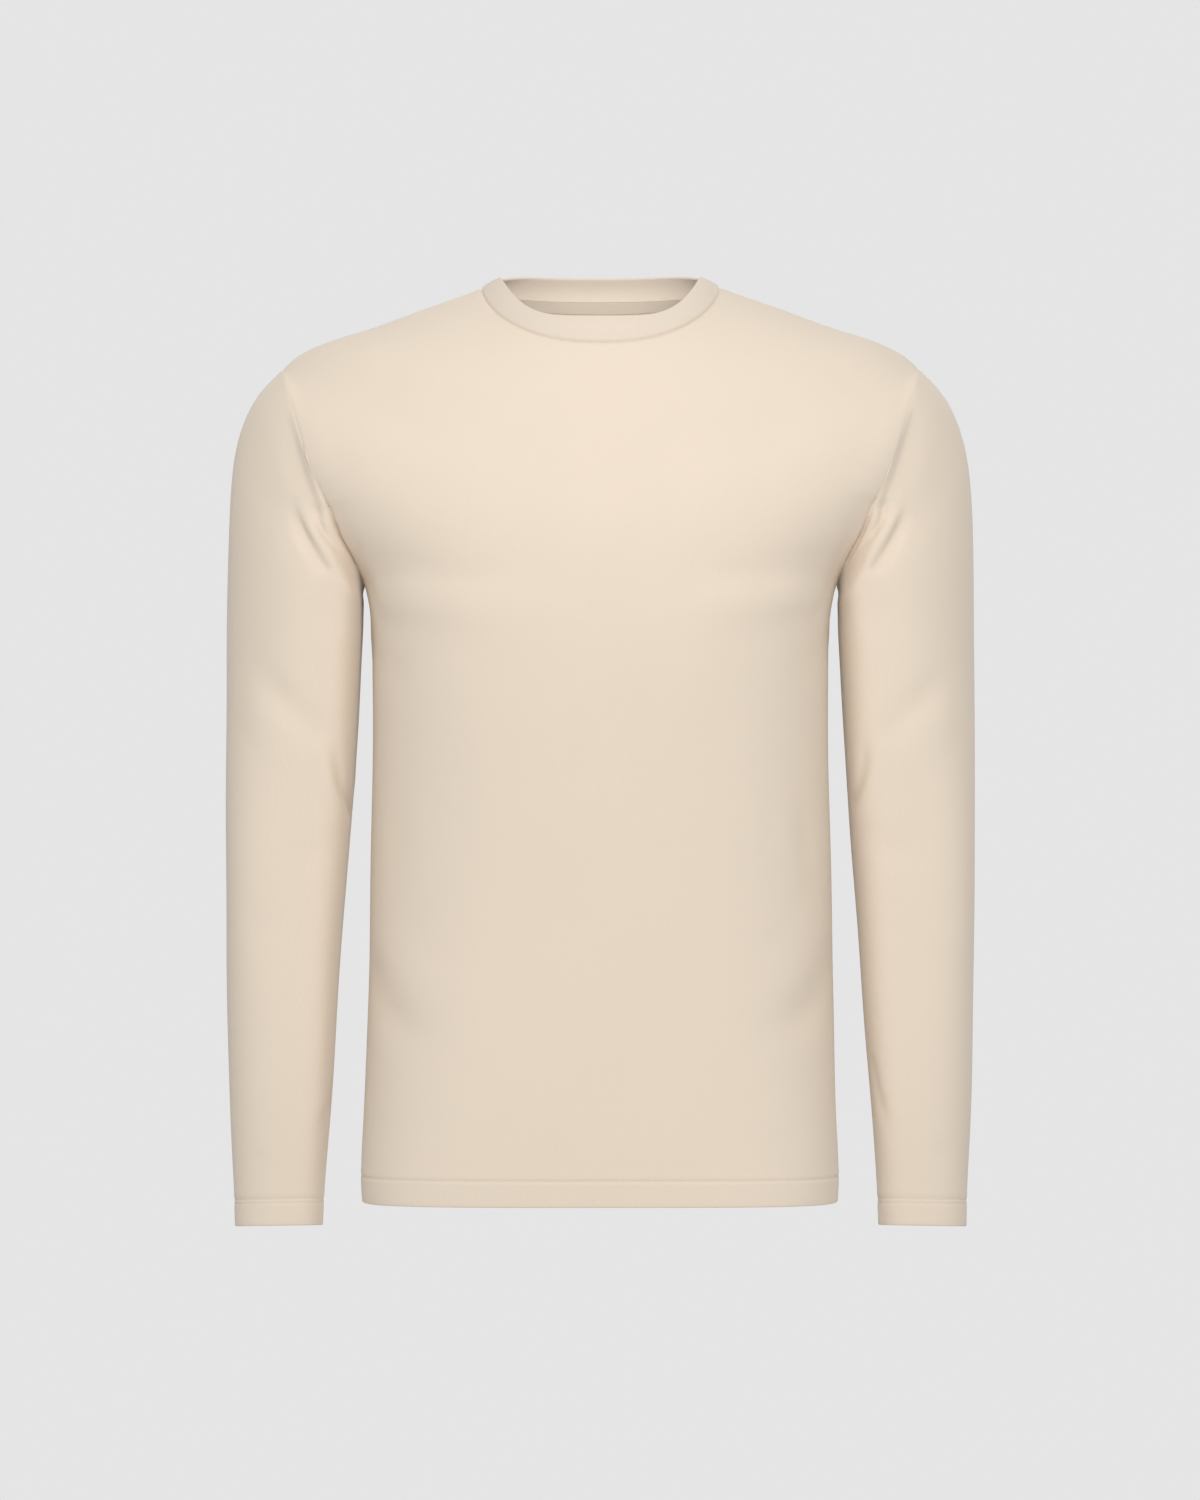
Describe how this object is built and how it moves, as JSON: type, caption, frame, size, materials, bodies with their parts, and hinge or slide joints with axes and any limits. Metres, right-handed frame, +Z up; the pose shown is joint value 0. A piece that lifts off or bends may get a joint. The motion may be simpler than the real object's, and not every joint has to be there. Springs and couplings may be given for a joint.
{
  "type": "long-sleeve t-shirt",
  "caption": "Crew-neck long-sleeve t-shirt in plain jersey, hollow and open in its worn shape.",
  "frame": {"origin": "base of the neck, midway between the two points where the shoulder seams meet the collar", "axes": "+Z up, -Y towards the garment's front, +X towards the wearer's left"},
  "size_m": [0.5752, 0.243, 0.7337],
  "materials": {
    "jersey": "matt fine jersey knit",
    "rib": "matt fine rib knit",
    "tape": "matt plain tape"
  },
  "bodies": {
    "root": {"front": "jersey", "back": "jersey", "sleeve_left": "jersey", "sleeve_right": "jersey", "collar": "rib", "neck_tape": "tape"}
  },
  "joints": []
}
